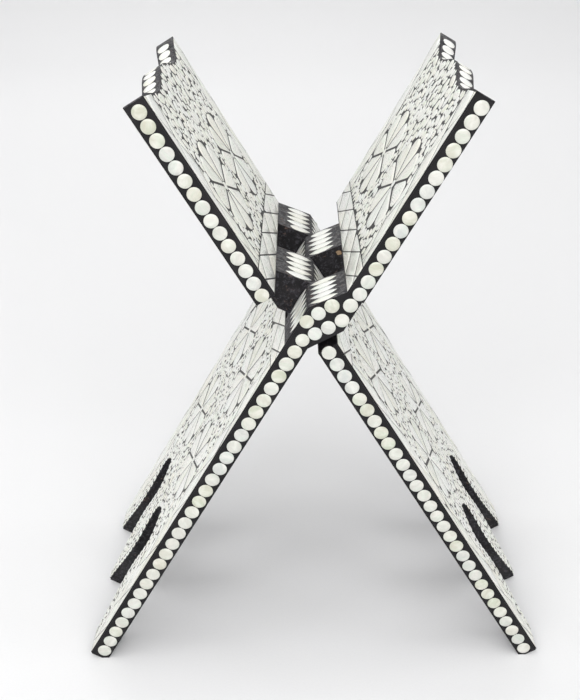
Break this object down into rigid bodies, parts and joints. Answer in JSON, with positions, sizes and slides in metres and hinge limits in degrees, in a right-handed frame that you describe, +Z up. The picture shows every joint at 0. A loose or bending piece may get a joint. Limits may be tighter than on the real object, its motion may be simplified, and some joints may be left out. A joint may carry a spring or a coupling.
{
  "type": "quran stand",
  "caption": "Folding X-shaped book stand of two interlocking wooden boards with mother-of-pearl inlay, arched feet and a scalloped top edge.",
  "frame": {"origin": "centre of the bounding box's bottom face, on the floor between the feet", "axes": "+Z up, +X towards the right leaf, +Y away from the near edge, along the fold axis"},
  "size_m": [0.2318, 0.129, 0.294],
  "materials": {
    "ebonised_wood": "black stained hardwood, worn satin polish",
    "pearl_discs": "round slices of mother-of-pearl, polished, warm cream with a faint lustre",
    "pearl_spindles": "pointed slips of mother-of-pearl set side by side, polished",
    "pearl_border": "long lozenges and triangles of mother-of-pearl with thin dark joints",
    "pearl_mosaic": "mosaic of small mother-of-pearl petals in grey-black mastic"
  },
  "bodies": {
    "board_a_body": {"board_a": "ebonised_wood", "leaf_a_rosette_field": "pearl_mosaic", "leaf_a_foot_border": "pearl_border", "leaf_a_left_border": "pearl_border", "leaf_a_right_border": "pearl_border", "leaf_a_back_panel": "pearl_mosaic", "leaf_a_crown_lozenges": "pearl_spindles", "leaf_a_finger_edge_discs": "pearl_discs", "leaf_a_plain_edge_discs": "pearl_discs", "leg_a_rosette_field": "pearl_mosaic", "leg_a_head_border": "pearl_border", "leg_a_left_border": "pearl_border", "leg_a_right_border": "pearl_border", "leg_a_finger_edge_discs": "pearl_discs", "leg_a_plain_edge_discs": "pearl_discs", "finger_a_shoulder_discs": "pearl_discs", "finger_1_shoulder_spindles": "pearl_spindles", "finger_1_face_spindles": "pearl_spindles", "finger_3_shoulder_spindles": "pearl_spindles", "finger_3_face_spindles": "pearl_spindles"},
    "board_b_body": {"board_b": "ebonised_wood", "leaf_b_rosette_field": "pearl_mosaic", "leaf_b_foot_border": "pearl_border", "leaf_b_left_border": "pearl_border", "leaf_b_right_border": "pearl_border", "leaf_b_back_panel": "pearl_mosaic", "leaf_b_crown_lozenges": "pearl_spindles", "leaf_b_finger_edge_discs": "pearl_discs", "leaf_b_plain_edge_discs": "pearl_discs", "leg_b_rosette_field": "pearl_mosaic", "leg_b_head_border": "pearl_border", "leg_b_left_border": "pearl_border", "leg_b_right_border": "pearl_border", "leg_b_finger_edge_discs": "pearl_discs", "leg_b_plain_edge_discs": "pearl_discs", "finger_b_shoulder_discs": "pearl_discs", "finger_2_shoulder_spindles": "pearl_spindles", "finger_2_face_spindles": "pearl_spindles", "finger_4_shoulder_spindles": "pearl_spindles", "finger_4_face_spindles": "pearl_spindles"}
  },
  "joints": [
    {"name": "fold", "type": "hinge", "parent": "board_a_body", "child": "board_b_body", "pos_m": [0, 0, 0.1799], "axis": [0, 1, 0], "range_deg": [0, 61]}
  ]
}
